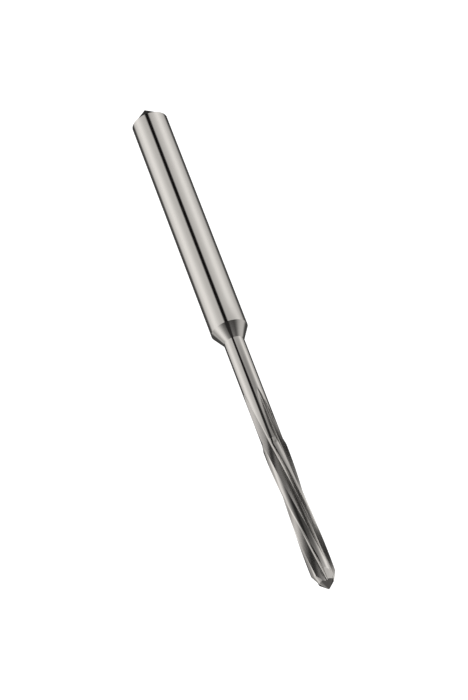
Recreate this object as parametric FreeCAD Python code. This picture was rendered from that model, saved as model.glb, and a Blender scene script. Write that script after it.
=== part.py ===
import FreeCAD, Part
import math
import os

# Machine reamer, one piece of hardened steel, in millimetres.
# The tool axis is X and the cutting end points to +X. The origin is the middle of the plain shank.
# A section is drawn in the plane x = 0 with one tooth's cutting edge on +Z. Its points are given
# as (ahead, up): ahead is the side that the edge cuts towards, -Y.

# shank, shoulder and neck
shank_diameter = 4.0
shank_length = 28.0
shoulder_angle = 30.0           # between the shoulder cone and the axis
neck_length = 14.0              # from the shank to the head, shoulder cone included
neck_relief = 0.125             # the neck stays this far under the bored wall

# the pointed centres that the tool was ground between
centre_angle = 45.0             # between each point's side and the axis
rear_ring = 0.07                # flat ring round the rear point
edge_break = 0.07               # rear edge of the shank

# cutting head
cutting_diameter = 2.5
step_length = 0.75              # cone from the neck up to the head
cutting_length = 15.6           # from the end of the neck to the lead
lead_length = 0.95
lead_angle = 25.0               # between the lead and the axis
lead_relief = 12.0              # how far each lead facet drops behind its edge
lead_lap = 1.5                  # each lead facet starts this far ahead of its edge
teeth = 4
helix_angle = 8.8               # left-hand spiral for right-hand cutting

# one tooth and the flute ahead of it, in section
core_radius = 0.6               # where the flute's back would meet the rake face
flute_corner = 0.22             # radius at the foot of the rake face
back_radius = 2.2               # crown of the flute's back
land_angle = 35.6               # from the cutting edge back to the heel
margin_angle = 7.0              # round strip left at full size behind the edge
relief_angle = 11.0             # drop behind the margin
heel_drop = 0.14                # the heel lies this far under the cutting circle
flute_wheel_radius = 40.0       # the wheel that leaves the flute's run-out
relief_wheel_radius = 2.0       # the small wheel that leaves the relief's end

shank_radius = shank_diameter / 2
head_radius = cutting_diameter / 2
neck_radius = head_radius - neck_relief
point_radius = head_radius - lead_length * math.tan(math.radians(lead_angle))
shoulder_x = shank_length / 2
head_x = shoulder_x + neck_length
lead_x = head_x + cutting_length
point_x = lead_x + lead_length
tip_x = point_x + point_radius / math.tan(math.radians(centre_angle))
tooth_pitch = 360.0 / teeth
turn_per_mm = 360.0 * math.tan(math.radians(helix_angle)) / (math.pi * cutting_diameter)

# the cutters overshoot what they cut by these
outside = 1.5 * head_radius
overrun_turn = 12.0
section_turn = 9.0              # the spiral turns this far between two sections of a cutter
run_out_sections = 4            # at least so many sections shape a run-out

AXIS = FreeCAD.Vector(1, 0, 0)
ORIGIN = FreeCAD.Vector(0, 0, 0)


def at(ahead, up, x=0):
    """A point (ahead, up) of a section, at station x."""
    return FreeCAD.Vector(x, -ahead, up)


def on_circle(centre, radius, turn):
    """The point of a circle that lies this many degrees behind the circle's top."""
    return (centre[0] - radius * math.sin(math.radians(turn)),
            centre[1] + radius * math.cos(math.radians(turn)))


def turn_of(centre, point):
    """How many degrees behind the circle's top a point lies, seen from the circle's centre."""
    return math.degrees(math.atan2(centre[0] - point[0], point[1] - centre[1]))


def line(start, end):
    return Part.LineSegment(at(*start), at(*end)).toShape()


def arc(centre, radius, first, last):
    """The arc of a circle from one turn to another."""
    stops = [on_circle(centre, radius, turn) for turn in (first, (first + last) / 2, last)]
    return Part.Arc(*[at(*stop) for stop in stops]).toShape()


def cone_length(rise, angle):
    return rise / math.tan(math.radians(angle))


def blank():
    """The turned and ground body, before its flutes."""
    rear_x = -shank_length / 2
    rear_point = shank_radius - edge_break - rear_ring
    outline = [
        (rear_x - cone_length(rear_point, centre_angle), 0),
        (rear_x, rear_point),
        (rear_x, rear_point + rear_ring),
        (rear_x + edge_break, shank_radius),
        (shoulder_x, shank_radius),
        (shoulder_x + cone_length(shank_radius - neck_radius, shoulder_angle), neck_radius),
        (head_x, neck_radius),
        (head_x + step_length, head_radius),
        (lead_x, head_radius),
        (point_x, point_radius),
        (tip_x, 0),
    ]
    corners = [at(0, radius, x) for x, radius in outline]
    face = Part.Face(Part.makePolygon(corners + corners[:1]))
    return face.revolve(ORIGIN, AXIS, 360)


def flute_section(lift):
    """The flute ahead of a cutting edge: radial rake face, round corner, crowned back."""
    foot = (0, core_radius + lift)
    heel = on_circle((0, lift), head_radius - heel_drop, land_angle - tooth_pitch)
    chord = math.dist(foot, heel)
    depth = math.sqrt(back_radius ** 2 - (chord / 2) ** 2)
    crown = ((foot[0] + heel[0]) / 2 + (heel[1] - foot[1]) / chord * depth,
             (foot[1] + heel[1]) / 2 - (heel[0] - foot[0]) / chord * depth)
    reach = back_radius + flute_corner
    corner = (flute_corner, crown[1] + math.sqrt(reach ** 2 - (flute_corner - crown[0]) ** 2))
    back_turn = turn_of(crown, corner)
    outer_turn = -math.degrees(math.asin((outside - crown[0]) / back_radius))
    top = outside + lift
    return Part.Wire([
        line((0, top), (0, corner[1])),
        arc(corner, flute_corner, 90, back_turn + 180),
        arc(crown, back_radius, back_turn, outer_turn),
        line(on_circle(crown, back_radius, outer_turn), (outside, top)),
        line((outside, top), (0, top)),
    ])


def relief_section(lift):
    """What the land loses behind its margin: all that lies outside a smaller, shifted circle."""
    margin = on_circle((0, lift), head_radius, margin_angle)
    heel = on_circle((0, lift), head_radius - heel_drop, land_angle)
    first = margin_angle + relief_angle
    inward = on_circle((0, 0), -1, first)
    span = (heel[0] - margin[0], heel[1] - margin[1])
    radius = math.dist(margin, heel) ** 2 / (2 * (span[0] * inward[0] + span[1] * inward[1]))
    centre = (margin[0] + radius * inward[0], margin[1] + radius * inward[1])
    first -= overrun_turn
    last = turn_of(centre, heel) + overrun_turn
    start = on_circle(centre, radius, first)
    end = on_circle(centre, radius, last)
    start_out = on_circle((0, lift), outside, turn_of((0, lift), start))
    end_out = on_circle((0, lift), outside, turn_of((0, lift), end))
    return Part.Wire([
        arc(centre, radius, first, last),
        line(end, end_out),
        line(end_out, start_out),
        line(start_out, start),
    ])


def spiral_cutter(section, full_x, clear_lift, wheel_radius):
    """A section carried along the spiral, from clear of the work to past the tip.

    Before full_x the section lifts as a round wheel leaves the work.
    """
    run_out = math.sqrt(wheel_radius ** 2 - (wheel_radius - clear_lift) ** 2)
    step = section_turn / turn_per_mm
    rear = max(run_out_sections, math.ceil(run_out / step))
    front = math.ceil((tip_x + step - full_x) / step)
    stations = [full_x - run_out * i / rear for i in range(rear, 0, -1)]
    stations += [full_x + step * i for i in range(front + 1)]
    wires = []
    for x in stations:
        lift = wheel_radius - math.sqrt(wheel_radius ** 2 - max(0, full_x - x) ** 2)
        wire = section(lift)
        wire.rotate(ORIGIN, AXIS, (lead_x - x) * turn_per_mm)
        wire.translate(FreeCAD.Vector(x, 0, 0))
        wires.append(wire)
    return Part.makeLoft(wires, True, False)


def lead_facet_cutter():
    """The block over one flat lead facet, which drops behind the tooth's cutting edge."""
    start = at(*on_circle((0, 0), head_radius, -lead_lap), lead_x)
    end = at(*on_circle((0, 0), point_radius, lead_length * turn_per_mm - lead_lap), point_x)
    edge = (end - start).normalize()
    drop = math.radians(lead_relief)
    out = edge.cross(FreeCAD.Vector(0, math.cos(drop), -math.sin(drop)))
    back = out.cross(edge)
    ahead = head_radius - point_radius
    block = Part.makeBox(tip_x - lead_x + ahead, outside + ahead, outside)
    block.translate(FreeCAD.Vector(-ahead, -ahead, 0))
    block.Placement = FreeCAD.Placement(start, FreeCAD.Rotation(edge, back, out, "ZXY")) * block.Placement
    return block


def reamer():
    cutters = [
        spiral_cutter(flute_section, head_x, neck_radius, flute_wheel_radius),
        spiral_cutter(relief_section, head_x + step_length, neck_relief, relief_wheel_radius),
        lead_facet_cutter(),
    ]
    body = blank()
    for cutter in cutters:
        for tooth in range(teeth):
            turned = cutter.copy()
            turned.rotate(ORIGIN, AXIS, tooth_pitch * tooth)
            body = body.cut(turned)
    return body


os.makedirs("parts", exist_ok=True)
solid = reamer()
solid.exportStep("parts/reamer.step")
print("reamer:", len(solid.Solids), "solid,", round(solid.Volume, 3), "mm3, valid", solid.isValid())
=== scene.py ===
import math

import bpy
import numpy as np
from mathutils import Matrix, Vector


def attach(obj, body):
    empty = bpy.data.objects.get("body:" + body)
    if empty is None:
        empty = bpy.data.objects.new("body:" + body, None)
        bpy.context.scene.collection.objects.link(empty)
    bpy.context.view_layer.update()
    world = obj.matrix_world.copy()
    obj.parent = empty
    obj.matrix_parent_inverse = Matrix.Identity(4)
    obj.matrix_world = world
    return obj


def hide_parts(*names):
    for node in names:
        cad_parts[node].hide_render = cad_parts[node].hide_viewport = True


# The skin of the reamer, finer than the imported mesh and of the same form. Its sizes are in
# millimetres, on the tool axis X with the tip at +X and the middle of the shank at x = 0.
MM = 0.001

SHANK_RADIUS = 2.0
SHANK_LENGTH = 28.0
SHOULDER_ANGLE = 30.0
NECK_LENGTH = 14.0
NECK_RELIEF = 0.125
CENTRE_ANGLE = 45.0
REAR_RING = 0.07
EDGE_BREAK = 0.07

HEAD_RADIUS = 1.25
STEP_LENGTH = 0.75
CUTTING_LENGTH = 15.6
LEAD_LENGTH = 0.95
LEAD_ANGLE = 25.0
LEAD_RELIEF = 12.0
LEAD_LAP = 1.5
TEETH = 4
HELIX_ANGLE = 8.8

CORE_RADIUS = 0.6
FLUTE_CORNER = 0.22
BACK_RADIUS = 2.2
LAND_ANGLE = 35.6
MARGIN_ANGLE = 7.0
RELIEF_ANGLE = 11.0
HEEL_DROP = 0.14
FLUTE_WHEEL_RADIUS = 40.0
RELIEF_WHEEL_RADIUS = 2.0

NECK_RADIUS = HEAD_RADIUS - NECK_RELIEF
POINT_RADIUS = HEAD_RADIUS - LEAD_LENGTH * math.tan(math.radians(LEAD_ANGLE))
REAR_POINT_RADIUS = SHANK_RADIUS - EDGE_BREAK - REAR_RING
REAR_X = -SHANK_LENGTH / 2
SHOULDER_X = SHANK_LENGTH / 2
CONE_X = SHOULDER_X + (SHANK_RADIUS - NECK_RADIUS) / math.tan(math.radians(SHOULDER_ANGLE))
HEAD_X = SHOULDER_X + NECK_LENGTH
LEAD_X = HEAD_X + CUTTING_LENGTH
POINT_X = LEAD_X + LEAD_LENGTH
TIP_X = POINT_X + POINT_RADIUS / math.tan(math.radians(CENTRE_ANGLE))
REAR_TIP_X = REAR_X - REAR_POINT_RADIUS / math.tan(math.radians(CENTRE_ANGLE))
PITCH = 360.0 / TEETH
TURN_PER_MM = 360.0 * math.tan(math.radians(HELIX_ANGLE)) / (2 * math.pi * HEAD_RADIUS)

RUN_OUT_X = HEAD_X - 7.0            # the neck is whole up to here, a little before the flutes

# steps of the skin round one tooth, from its cutting edge back to the next edge
MARGIN_STEPS = 3
RELIEF_STEPS = 12
BACK_STEPS = 14
CORNER_STEPS = 10
RAKE_STEPS = 5
LIP_STEPS = 3

COLUMN_MARGIN = MARGIN_STEPS
COLUMN_HEEL = COLUMN_MARGIN + RELIEF_STEPS
COLUMN_CORNER = COLUMN_HEEL + BACK_STEPS
COLUMN_RAKE_TOP = COLUMN_CORNER + CORNER_STEPS + RAKE_STEPS

LEAD_CLOSE = 0.2        # this far before the lead the sections lie closer
TIP_GAP = 0.002         # the last section is this far from the point
DEEPEST_TRIES = 60      # angles tried for the deepest place of a flute
HALVINGS = 40           # steps in the search for where two outlines meet
SAME_DECIMALS = 4       # points that agree to so many decimals are one
NEARLY_ZERO = 1e-6
RIDGE_LIMIT = 6.0       # degrees of bend that count as an edge: on the tool's own edges
FACE_LIMIT = 15.0       # and anywhere else

# what a face is ground to, in the order of FINISHES
ROUND, FLUTE, LAND, RAKE = range(4)

RINGS = [
    (REAR_TIP_X, 0.0),
    (REAR_X, REAR_POINT_RADIUS),
    (REAR_X, REAR_POINT_RADIUS + REAR_RING),
    (REAR_X + EDGE_BREAK, SHANK_RADIUS),
    (SHOULDER_X, SHANK_RADIUS),
    (CONE_X, NECK_RADIUS),
    (HEAD_X, NECK_RADIUS),
    (HEAD_X + STEP_LENGTH, HEAD_RADIUS),
    (LEAD_X, HEAD_RADIUS),
    (POINT_X, POINT_RADIUS),
    (TIP_X, 0.0),
]


def wheel_lift(distance, wheel_radius):
    """How far a round wheel has left the work, this far before its full depth."""
    before = min(max(0.0, distance), wheel_radius)
    return wheel_radius - math.sqrt(wheel_radius ** 2 - before ** 2)


def ray_circle(turn, centre, radius, side):
    """Where a ray from the axis, turn degrees round, meets a circle: far side +1, near side -1."""
    along = centre[0] * math.sin(math.radians(turn)) + centre[1] * math.cos(math.radians(turn))
    inside = radius ** 2 - centre[0] ** 2 - centre[1] ** 2 + along ** 2
    return along + side * math.sqrt(max(0.0, inside))


def relief_circle():
    """The circle that a land is ground to behind its margin, as (behind, up) of its edge."""
    margin = polar(HEAD_RADIUS, MARGIN_ANGLE)
    heel = polar(HEAD_RADIUS - HEEL_DROP, LAND_ANGLE)
    inward = polar(-1.0, MARGIN_ANGLE + RELIEF_ANGLE)
    span = (heel[0] - margin[0], heel[1] - margin[1])
    radius = math.dist(margin, heel) ** 2 / (2 * (span[0] * inward[0] + span[1] * inward[1]))
    return (margin[0] + radius * inward[0], margin[1] + radius * inward[1]), radius


def polar(radius, turn):
    """The point at this radius, turn degrees behind the top, as (behind, up)."""
    return radius * math.sin(math.radians(turn)), radius * math.cos(math.radians(turn))


RELIEF_CENTRE, RELIEF_RADIUS = relief_circle()


def facet_plane():
    """The flat lead facet of the tooth whose edge is at the top where the lead begins."""
    behind, up = polar(HEAD_RADIUS, -LEAD_LAP)
    start = Vector((LEAD_X, behind, up))
    behind, up = polar(POINT_RADIUS, LEAD_LENGTH * TURN_PER_MM - LEAD_LAP)
    edge = Vector((POINT_X, behind, up)) - start
    drop = math.radians(LEAD_RELIEF)
    return start, edge.cross(Vector((0, math.cos(drop), -math.sin(drop)))).normalized()


FACET_START, FACET_NORMAL = facet_plane()


def envelope(x):
    """The radius of the turned body, before its flutes."""
    return float(np.interp(x, [ring[0] for ring in RINGS], [ring[1] for ring in RINGS]))


class Section:
    """One cross-section of the tool. Angles are degrees behind a tooth's cutting edge."""

    def __init__(self, x, radius, fluted):
        self.x = x
        self.radius = radius
        self.turn = (x - LEAD_X) * TURN_PER_MM
        self.relief_lift = wheel_lift(HEAD_X + STEP_LENGTH - x, RELIEF_WHEEL_RADIUS)
        lift = wheel_lift(HEAD_X - x, FLUTE_WHEEL_RADIUS)
        foot = (0.0, CORE_RADIUS + lift)
        heel_ahead, heel_up = polar(HEAD_RADIUS - HEEL_DROP, PITCH - LAND_ANGLE)
        heel = (heel_ahead, heel_up + lift)
        chord = math.dist(foot, heel)
        depth = math.sqrt(BACK_RADIUS ** 2 - (chord / 2) ** 2)
        self.crown = ((foot[0] + heel[0]) / 2 + (heel[1] - foot[1]) / chord * depth,
                      (foot[1] + heel[1]) / 2 - (heel[0] - foot[0]) / chord * depth)
        reach = BACK_RADIUS + FLUTE_CORNER
        rise = math.sqrt(reach ** 2 - (FLUTE_CORNER - self.crown[0]) ** 2)
        self.corner = (FLUTE_CORNER, self.crown[1] + rise)
        touch = [c + (k - c) * BACK_RADIUS / reach for c, k in zip(self.crown, self.corner)]
        self.corner_turn = math.degrees(math.atan2(*touch))
        self.deepest = min(np.linspace(0, self.corner_turn, DEEPEST_TRIES), key=self.floor)
        self.open = fluted and self.land_over(self.deepest) > 0
        self.heel_turn = self.meeting(self.deepest, PITCH - MARGIN_ANGLE, self.land_over)
        self.front_turn = self.meeting(self.deepest, 0.0, self.front_over)

    def facet(self, behind):
        """The radius at which the flat lead facet lies."""
        turn = math.radians(behind + self.turn)
        slope = FACET_NORMAL.y * math.sin(turn) + FACET_NORMAL.z * math.cos(turn)
        return (FACET_NORMAL.dot(FACET_START) - FACET_NORMAL.x * self.x) / max(slope, NEARLY_ZERO)

    def land(self, behind):
        """The outside of a tooth: the turned body, its relief and its lead facet."""
        radius = min(self.radius, self.facet(behind)) if self.x > HEAD_X else self.radius
        if self.relief_lift < NECK_RELIEF and behind > MARGIN_ANGLE / 2:
            centre = (RELIEF_CENTRE[0], RELIEF_CENTRE[1] + self.relief_lift)
            radius = min(radius, ray_circle(behind, centre, RELIEF_RADIUS, 1))
        return radius

    def floor(self, ahead):
        """The flute's floor, this many degrees ahead of the edge it serves."""
        if ahead < self.corner_turn:
            return ray_circle(ahead, self.corner, FLUTE_CORNER, -1)
        return ray_circle(ahead, self.crown, BACK_RADIUS, 1)

    def land_over(self, ahead):
        return self.land(PITCH - ahead) - self.floor(ahead)

    def front_over(self, ahead):
        return self.land(-ahead) - self.floor(ahead)

    def meeting(self, inside, outside, over):
        """The angle, between one in the flute and one outside it, where floor and outside meet."""
        if not self.open:
            return inside
        if over(outside) > 0:
            return outside
        for _ in range(HALVINGS):
            middle = (inside + outside) / 2
            if over(middle) > 0:
                inside = middle
            else:
                outside = middle
        return (inside + outside) / 2

    def tooth(self):
        """The points of one tooth and the flute behind it, as (degrees behind, radius)."""
        heel = PITCH - self.heel_turn
        margin = np.linspace(0, MARGIN_ANGLE, MARGIN_STEPS + 1)[:-1]
        relief = np.linspace(MARGIN_ANGLE, heel, RELIEF_STEPS + 1)
        points = [(behind, self.land(behind)) for behind in [*margin, *relief]]
        foot = min(self.heel_turn, max(self.corner_turn, self.front_turn))
        back = np.linspace(self.heel_turn, foot, BACK_STEPS + 1)[1:]
        corner = np.linspace(foot, self.front_turn, CORNER_STEPS + 1)[1:]
        for ahead in [*back, *corner]:
            low = self.floor(ahead) if self.open else self.land(PITCH - ahead)
            points.append((PITCH - ahead, low))
        rake = np.linspace(points[-1][1], self.land(-self.front_turn), RAKE_STEPS + 1)[1:]
        points += [(PITCH - self.front_turn, radius) for radius in rake]
        lip = np.linspace(self.front_turn, 0, LIP_STEPS + 1)[1:-1]
        points += [(PITCH - ahead, self.land(-ahead)) for ahead in lip]
        return points


def stations():
    """Where the sections are cut: close together where the form changes fast."""
    stops = [(x, radius) for x, radius in RINGS[1:6]]
    spans = [(RUN_OUT_X, HEAD_X, 90), (HEAD_X, HEAD_X + STEP_LENGTH, 24),
             (HEAD_X + STEP_LENGTH, LEAD_X - LEAD_CLOSE, 130), (LEAD_X - LEAD_CLOSE, LEAD_X, 10),
             (LEAD_X, POINT_X, 60), (POINT_X, TIP_X - TIP_GAP, 60)]
    for start, end, steps in spans:
        stops += [(x, envelope(x)) for x in np.linspace(start, end, steps + 1)[:-1]]
    return stops


def skin_points():
    """A grid of points, one row for each section, in millimetres."""
    rows = []
    for x, radius in stations():
        section = Section(max(x, RUN_OUT_X), radius, x > RUN_OUT_X)
        tooth = section.tooth()
        row = []
        for index in range(TEETH):
            for behind, out in tooth:
                turn = math.radians(behind + section.turn + PITCH * index)
                row.append((x, out * math.sin(turn), out * math.cos(turn)))
        rows.append(row)
    return rows


def skin_mesh():
    """The skin, with a finish for each face and a flat layout for the grinding marks."""
    rows = skin_points()
    width = len(rows[0])
    per_tooth = width // TEETH
    rows = [[(REAR_TIP_X, 0, 0)] * width] + rows + [[(TIP_X, 0, 0)] * width]
    grid = np.array(rows)
    flat = grid.reshape(-1, 3)
    keys, index = np.unique(np.round(flat, SAME_DECIMALS), axis=0, return_inverse=True)
    index = index.reshape(len(rows), width)
    wrap = np.concatenate([grid, grid[:, :1]], axis=1)
    middle = int(np.argmin(abs(grid[:, 0, 0] - (HEAD_X + LEAD_X) / 2)))
    around = np.concatenate([[0], np.cumsum(np.linalg.norm(np.diff(wrap[middle], axis=0), axis=1))])

    faces, corners, kinds = [], [], []
    for i in range(len(rows) - 1):
        x = (grid[i, 0, 0] + grid[i + 1, 0, 0]) / 2
        for j in range(width):
            ring = [(i, j), (i + 1, j), (i + 1, j + 1), (i, j + 1)]
            loop = [(int(index[a, b % width]), (around[b], grid[a, 0, 0])) for a, b in ring]
            loop = [corner for k, corner in enumerate(loop) if corner[0] != loop[k - 1][0]]
            if len({corner[0] for corner in loop}) < 3:
                continue
            faces.append([corner[0] for corner in loop])
            corners += [corner[1] for corner in loop]
            kinds.append(surface_kind(x, j % per_tooth))

    mesh = bpy.data.meshes.new("reamer_skin")
    mesh.from_pydata([tuple(v * MM) for v in keys], [], faces)
    mesh.polygons.foreach_set("material_index", kinds)
    mesh.uv_layers.new(name="grind").data.foreach_set("uv", np.array(corners).ravel())
    sharpen(mesh, ridge_points(grid, index, per_tooth))
    return mesh


def surface_kind(x, column):
    """What a face between two sections is ground to."""
    if x < RUN_OUT_X or x > POINT_X:
        return ROUND
    if COLUMN_CORNER <= column < COLUMN_RAKE_TOP:
        return RAKE
    if COLUMN_HEEL <= column < COLUMN_CORNER:
        return FLUTE
    return LAND if x > HEAD_X + STEP_LENGTH / 2 else ROUND


def ridge_points(grid, index, per_tooth):
    """The points on the tool's own edges: along each tooth, and round both ends of the step."""
    edges = {int(v) for c in (0, COLUMN_MARGIN, COLUMN_HEEL, COLUMN_RAKE_TOP)
             for v in index[:, c::per_tooth].ravel()}
    step_ends = {int(v) for k, row in enumerate(grid)
                 if min(abs(row[0, 0] - HEAD_X), abs(row[0, 0] - HEAD_X - STEP_LENGTH)) < NEARLY_ZERO
                 for v in index[k]}
    return edges | step_ends


def sharpen(mesh, ridges):
    """Smooth shading that stops at the real edges."""
    mesh.shade_smooth()
    mesh.validate()
    normals = [polygon.normal.copy() for polygon in mesh.polygons]
    sides = {}
    for polygon in mesh.polygons:
        for key in polygon.edge_keys:
            sides.setdefault(key, []).append(polygon.index)
    sharp = []
    for edge in mesh.edges:
        pair = sides.get(edge.key, [])
        on_ridge = edge.vertices[0] in ridges and edge.vertices[1] in ridges
        limit = math.cos(math.radians(RIDGE_LIMIT if on_ridge else FACE_LIMIT))
        sharp.append(len(pair) == 2 and normals[pair[0]].dot(normals[pair[1]]) < limit)
    flags = mesh.attributes.new("sharp_edge", "BOOLEAN", "EDGE")
    flags.data.foreach_set("value", sharp)


# ---------------------------------------------------------------- materials

def node(tree, kind, inputs=None, **settings):
    made = tree.nodes.new(kind)
    for name, value in settings.items():
        setattr(made, name, value)
    for name, value in (inputs or {}).items():
        made.inputs[name].default_value = value
    return made


# each finish: colour, roughness, grinding marks a millimetre across and along the skin, their
# depth in millimetres, and how much darker the marks are
FINISHES = {
    "round_ground": ((0.63, 0.62, 0.605), 0.10, 0.4, 30.0, 0.0004, 0.05),
    # painted shade: the flutes' steel is coloured darker than the rest of the tool, standing in for
    # the shade inside the flutes; their rougher grind is in the roughness and the marks
    "flute_ground_painted_shade": ((0.49, 0.48, 0.47), 0.24, 30.0, 0.6, 0.0012, 0.12),
    "land_ground": ((0.63, 0.62, 0.605), 0.12, 26.0, 0.8, 0.0006, 0.06),
    "rake_ground": ((0.63, 0.62, 0.605), 0.26, 26.0, 0.8, 0.0006, 0.06),
}
MARK_FROM, MARK_TO = 0.3, 0.7           # the noise between which the colour changes
ROUGH_FROM, ROUGH_TO = 0.8, 1.25        # how far the marks change the roughness


def ground_steel(name, colour, roughness, across, along, depth, darker):
    """Ground steel, with the marks that its grinding leaves."""
    material = bpy.data.materials.new(name)
    material.use_nodes = True
    tree = material.node_tree
    link = tree.links.new
    shader = tree.nodes["Principled BSDF"]
    shader.inputs["Metallic"].default_value = 1.0
    skin = node(tree, "ShaderNodeUVMap", uv_map="grind")
    stretch = node(tree, "ShaderNodeMapping", {"Scale": (across, along, 1.0)})
    marks = node(tree, "ShaderNodeTexNoise", {"Scale": 1.0, "Detail": 4.0, "Roughness": 0.65},
                 noise_dimensions="2D")
    link(skin.outputs["UV"], stretch.inputs["Vector"])
    link(stretch.outputs["Vector"], marks.inputs["Vector"])
    tint = node(tree, "ShaderNodeValToRGB")
    low, high = tint.color_ramp.elements
    low.position, high.position = MARK_FROM, MARK_TO
    low.color = (*[c * (1 - darker) for c in colour], 1)
    high.color = (*colour, 1)
    link(marks.outputs["Fac"], tint.inputs["Fac"])
    link(tint.outputs["Color"], shader.inputs["Base Color"])
    rough = node(tree, "ShaderNodeMapRange",
                 {"To Min": roughness * ROUGH_FROM, "To Max": roughness * ROUGH_TO})
    link(marks.outputs["Fac"], rough.inputs["Value"])
    link(rough.outputs["Result"], shader.inputs["Roughness"])
    bump = node(tree, "ShaderNodeBump", {"Strength": 1.0, "Distance": depth * MM})
    link(marks.outputs["Fac"], bump.inputs["Height"])
    link(bump.outputs["Normal"], shader.inputs["Normal"])
    return material


# ---------------------------------------------------------------- studio

VIEW_TURN = 100.7       # the camera's side of the tool axis, degrees from +Y towards +Z
TENT_RADIUS = 25.0
TENT_FROM, TENT_TO = -200, 200
TENT_LIGHT = 0.6        # the bare tent
TENT_WARMTH = (1.0, 0.975, 0.945)
TENT_STEP = 3           # degrees between the tent's points
TENT_RINGS = range(-60, 66, 2)

# what hangs in the tent: its light, then from and to with the softness of the edge, as turns
# from the camera's side and as places along the tool; a later card hangs in front
CARDS = [
    (0.08, (-168, -112, 8), (-80, 60, 4)),   # dark card low on the right
    (0.08, (112, 168, 8), (-80, 60, 4)),     # dark card low on the left
    (0.04, (-181, 181, 0), (-260, -30, 4)),  # dark cloth behind the shank
    (0.75, (-112, -10, 14), (-46, 46, 6)),   # right softbox
    (1.30, (-88, -52, 30), (-46, 38, 6)),    # its hot middle
    (0.70, (11, 118, 14), (-46, 48, 6)),     # left softbox
    (1.25, (46, 82, 30), (-46, 0, 3)),       # its hot middle
    (0.50, (-112, -86, 16), (14, 24, 4)),    # grey card by the shoulder
    (0.38, (12, 60, 20), (2, 16, 4)),        # grey card over the neck
    (1.10, (72, 95, 12), (0, 15, 3)),        # white card over the neck
    (0.08, (-38, 68, 26), (16, 30, 4)),      # dark card over the run-out
    (0.28, (-112, -76, 10), (29, 34, 3)),    # grey card low over the head
    (1.30, (76, 110, 10), (29, 33, 2)),      # white card by the head
    (1.10, (30, 100, 10), (34, 44, 3)),      # white card over the head
    (1.30, (-165, -112, 15), (19, 28, 2)),   # white card under the right
    (1.30, (118, 160, 12), (22, 28, 2)),     # white card under the left
    (0.06, (-44, 20, 12), (31, 60, 3)),      # dark card over the head
    (0.13, (-180, 180, 0), (57, 260, 6)),    # grey cloth beyond the tip
    (0.80, (40, 108, 10), (46, 57, 3)),      # left card by the tip
    (0.95, (-128, -84, 10), (44, 58, 3)),    # right card by the tip
    (0.30, (-125, -88, 12), (60, 80, 4)),    # small card beyond the tip
    (0.03, (-12, 15, 4), (6, 46, 3)),        # dark card on the camera's side
    (0.005, (-10, 11, 3), (-70, 10, 3)),     # black card on the camera's side
]


def cover(value, span):
    """How far a card covers a value: 1 inside its span, 0 outside, soft across its edges."""
    start, end, soft = span
    inside = 1.0
    for depth in (value - start, end - value):
        share = min(max(depth / soft / 2 + 0.5, 0.0), 1.0) if soft else float(depth >= 0)
        inside *= share * share * (3 - 2 * share)
    return inside


def tent_light(turn, place):
    light = TENT_LIGHT
    for shine, turns, places in CARDS:
        light += (shine - light) * cover(turn, turns) * cover(place, places)
    return light


def tent():
    """A tube of soft light round the tool axis, which only the steel sees."""
    turns = list(range(-180, 180, TENT_STEP))
    stops = [TENT_FROM, *TENT_RINGS, TENT_TO]
    points, colours = [], []
    for place in stops:
        for turn in turns:
            angle = math.radians(VIEW_TURN - turn)
            points.append((place * MM, TENT_RADIUS * math.cos(angle) * MM,
                           TENT_RADIUS * math.sin(angle) * MM))
            light = tent_light(turn, place)
            colours += [*[light * share for share in TENT_WARMTH], 1]
    count = len(turns)
    faces = [(i * count + j, i * count + (j + 1) % count,
              (i + 1) * count + (j + 1) % count, (i + 1) * count + j)
             for i in range(len(stops) - 1) for j in range(count)]
    mesh = bpy.data.meshes.new("tent")
    mesh.from_pydata(points, [], faces)
    mesh.color_attributes.new("light", "FLOAT_COLOR", "POINT").data.foreach_set("color", colours)
    material = bpy.data.materials.new("tent")
    material.use_nodes = True
    tree = material.node_tree
    tree.nodes.remove(tree.nodes["Principled BSDF"])
    paint = node(tree, "ShaderNodeAttribute", attribute_name="light")
    glow = node(tree, "ShaderNodeEmission", {"Strength": 1.0})
    tree.links.new(paint.outputs["Color"], glow.inputs["Color"])
    tree.links.new(glow.outputs[0], tree.nodes["Material Output"].inputs["Surface"])
    mesh.materials.append(material)
    tube = bpy.data.objects.new("tent", mesh)
    bpy.context.scene.collection.objects.link(tube)
    tube.visible_camera = False
    tube.visible_diffuse = False
    tube.visible_shadow = False


def daylight():
    """Plain soft light from all round, for the paper."""
    world = bpy.data.worlds.new("daylight")
    bpy.context.scene.world = world
    world.use_nodes = True
    world.node_tree.nodes["Background"].inputs["Color"].default_value = (1, 1, 1, 1)
    world.node_tree.nodes["Background"].inputs["Strength"].default_value = 1.0


PAPER_SIZE = 4.0                        # metres
PAPER_DROP = TENT_RADIUS + 1.0          # from the tool's axis down to the paper
PAPER_COLOUR = (0.5, 0.5, 0.5, 1)
PAPER_GLOW = 0.75


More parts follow.
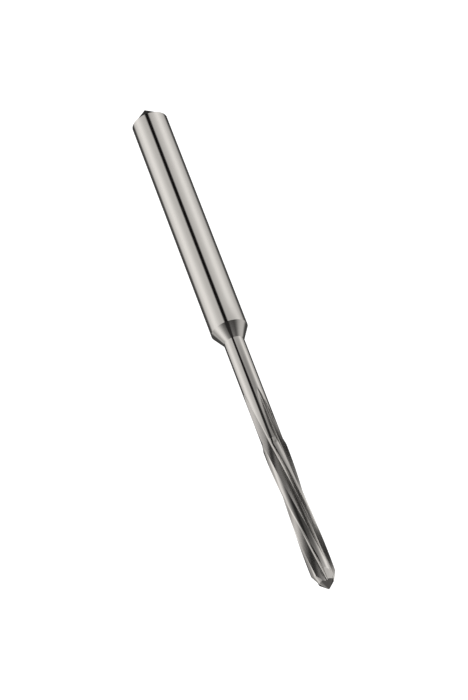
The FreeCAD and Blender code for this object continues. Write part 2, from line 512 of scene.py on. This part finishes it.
def floor():
    """White paper under the tent."""
    bpy.ops.mesh.primitive_plane_add(size=PAPER_SIZE, location=(0, 0, -PAPER_DROP * MM))
    paper = bpy.context.object
    paper.name = "paper"
    material = bpy.data.materials.new("paper")
    material.use_nodes = True
    tree = material.node_tree
    link = tree.links.new
    tree.nodes.remove(tree.nodes["Principled BSDF"])
    white = node(tree, "ShaderNodeBsdfDiffuse", {"Color": PAPER_COLOUR})
    glow = node(tree, "ShaderNodeEmission", {"Color": (1, 1, 1, 1), "Strength": PAPER_GLOW})
    both = node(tree, "ShaderNodeAddShader")
    clear = node(tree, "ShaderNodeBsdfTransparent")
    choice = node(tree, "ShaderNodeMixShader")
    path = node(tree, "ShaderNodeLightPath")
    link(white.outputs[0], both.inputs[0])
    link(glow.outputs[0], both.inputs[1])
    seen = node(tree, "ShaderNodeMath", operation="MAXIMUM")
    link(path.outputs["Is Camera Ray"], seen.inputs[0])
    link(path.outputs["Is Glossy Ray"], seen.inputs[1])
    link(seen.outputs[0], choice.inputs["Fac"])
    link(clear.outputs[0], choice.inputs[1])
    link(both.outputs[0], choice.inputs[2])
    link(choice.outputs[0], tree.nodes["Material Output"].inputs["Surface"])
    paper.data.materials.append(material)


AIM = Vector((SHOULDER_X + 2.35, 0, 0))
CAMERA_AZIMUTH = 71.8
CAMERA_ELEVATION = 58.8
CAMERA_DISTANCE = 269.0
CAMERA_SHIFT = (-0.275, -0.106)         # how far the view's centre lies right of and above AIM
CAMERA_LENS = 133.7
CAMERA_CLIP = 0.01


def camera():
    """The camera, which looks down on the tool from beyond the tip."""
    turn, rise = math.radians(CAMERA_AZIMUTH), math.radians(CAMERA_ELEVATION)
    back = Vector((math.sin(turn) * math.cos(rise), -math.cos(turn) * math.cos(rise), math.sin(rise)))
    right = Vector((math.cos(turn), math.sin(turn), 0))
    up = back.cross(right)
    data = bpy.data.cameras.new("camera")
    data.lens = CAMERA_LENS
    data.clip_start = CAMERA_CLIP
    seen = bpy.data.objects.new("camera", data)
    bpy.context.scene.collection.objects.link(seen)
    place = AIM + right * CAMERA_SHIFT[0] + up * CAMERA_SHIFT[1] + back * CAMERA_DISTANCE
    turned = Matrix((right, up, back)).transposed().to_4x4()
    seen.matrix_world = Matrix.Translation(place * MM) @ turned
    bpy.context.scene.camera = seen


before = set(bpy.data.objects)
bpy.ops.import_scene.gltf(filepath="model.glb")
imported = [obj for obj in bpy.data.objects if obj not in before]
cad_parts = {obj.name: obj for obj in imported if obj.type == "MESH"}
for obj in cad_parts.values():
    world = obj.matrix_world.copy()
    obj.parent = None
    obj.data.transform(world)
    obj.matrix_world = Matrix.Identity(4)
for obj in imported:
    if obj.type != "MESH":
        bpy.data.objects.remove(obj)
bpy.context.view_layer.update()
camera()
tent()
daylight()
floor()

reamer = bpy.data.objects.new("reamer_skin", skin_mesh())
bpy.context.scene.collection.objects.link(reamer)
for name, finish in FINISHES.items():
    reamer.data.materials.append(ground_steel(name, *finish))
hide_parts("reamer")
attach(reamer, "root")

bpy.context.scene.view_settings.view_transform = "Standard"
